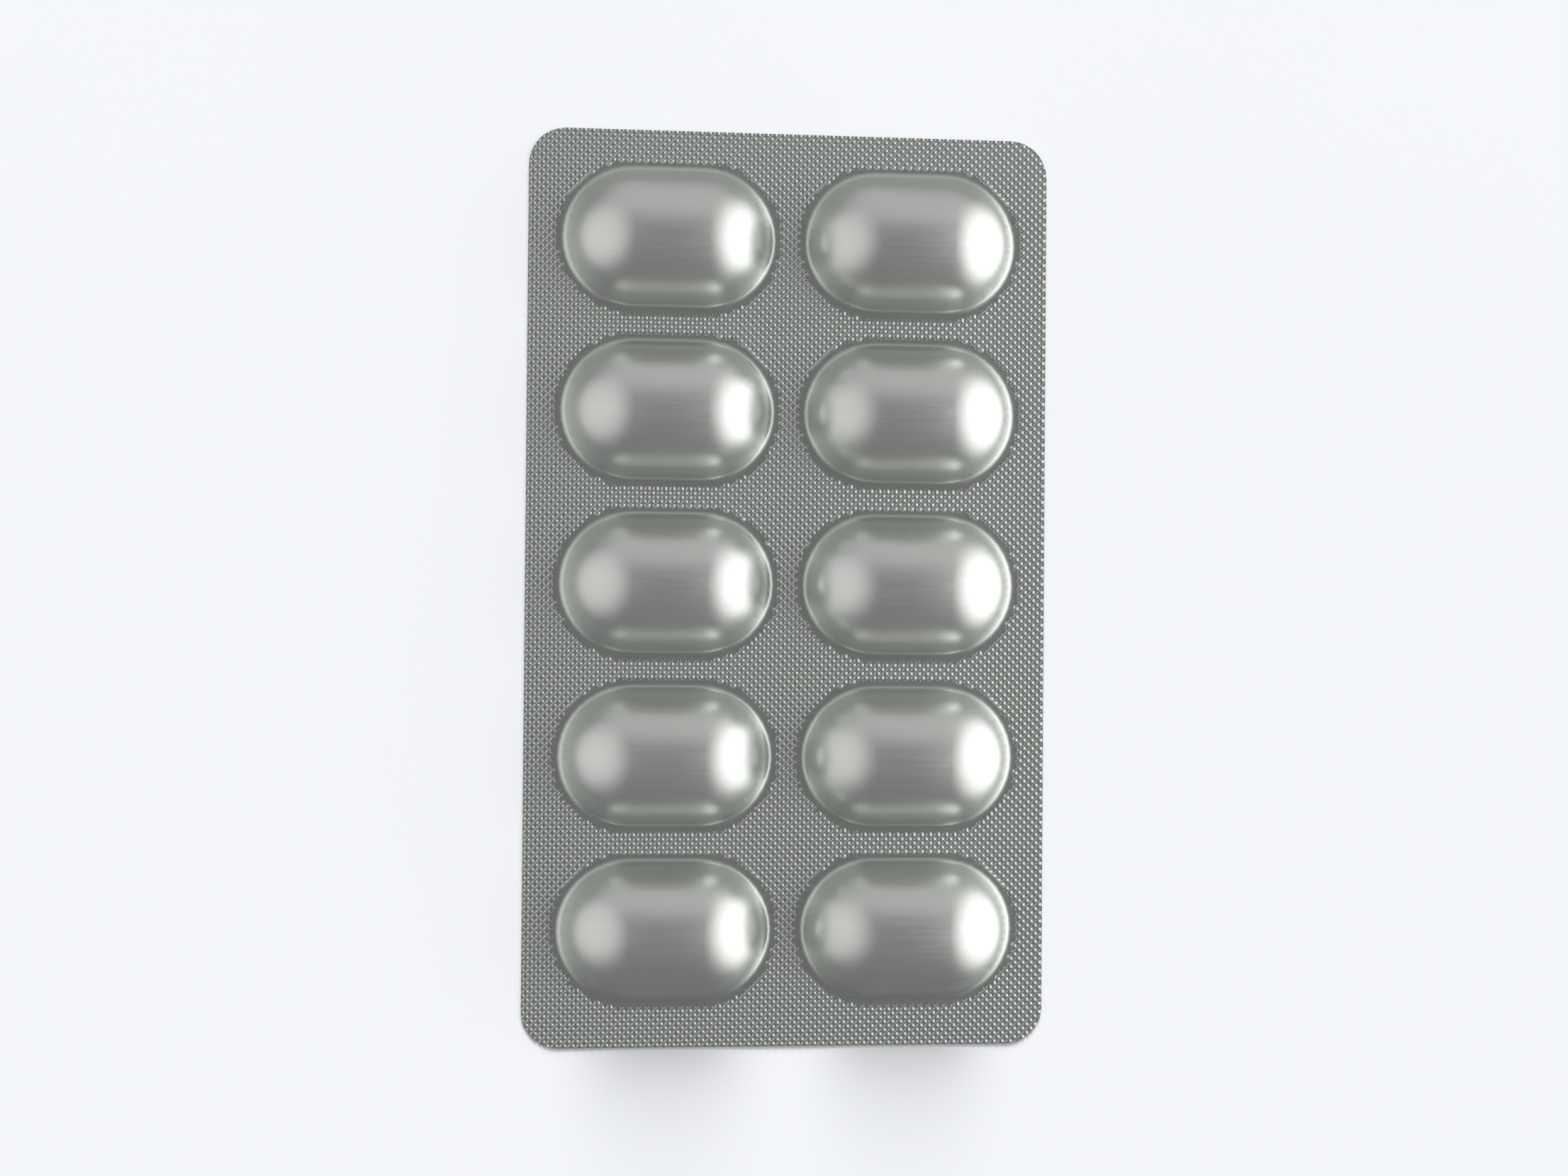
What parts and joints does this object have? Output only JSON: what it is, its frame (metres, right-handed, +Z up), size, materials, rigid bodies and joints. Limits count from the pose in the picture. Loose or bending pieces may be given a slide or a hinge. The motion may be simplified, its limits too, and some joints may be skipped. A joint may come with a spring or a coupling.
{
  "type": "pill blister pack",
  "caption": "Sealed aluminium-foil pill blister pack: round-ended caplet pockets in rows on a flat, knurled flange with rounded corners.",
  "frame": {"origin": "centre of the flat underside, the lidding foil, at the middle of the pack's outline", "axes": "+X across the pack, along each pocket; +Y along the pack, from row to row, towards the edge with the narrower margin; +Z up, out of the pockets"},
  "size_m": [0.063, 0.11, 0.0075],
  "materials": {
    "formed_foil": "satin"
  },
  "bodies": {
    "root": {"blister_pack": "formed_foil"}
  },
  "joints": []
}
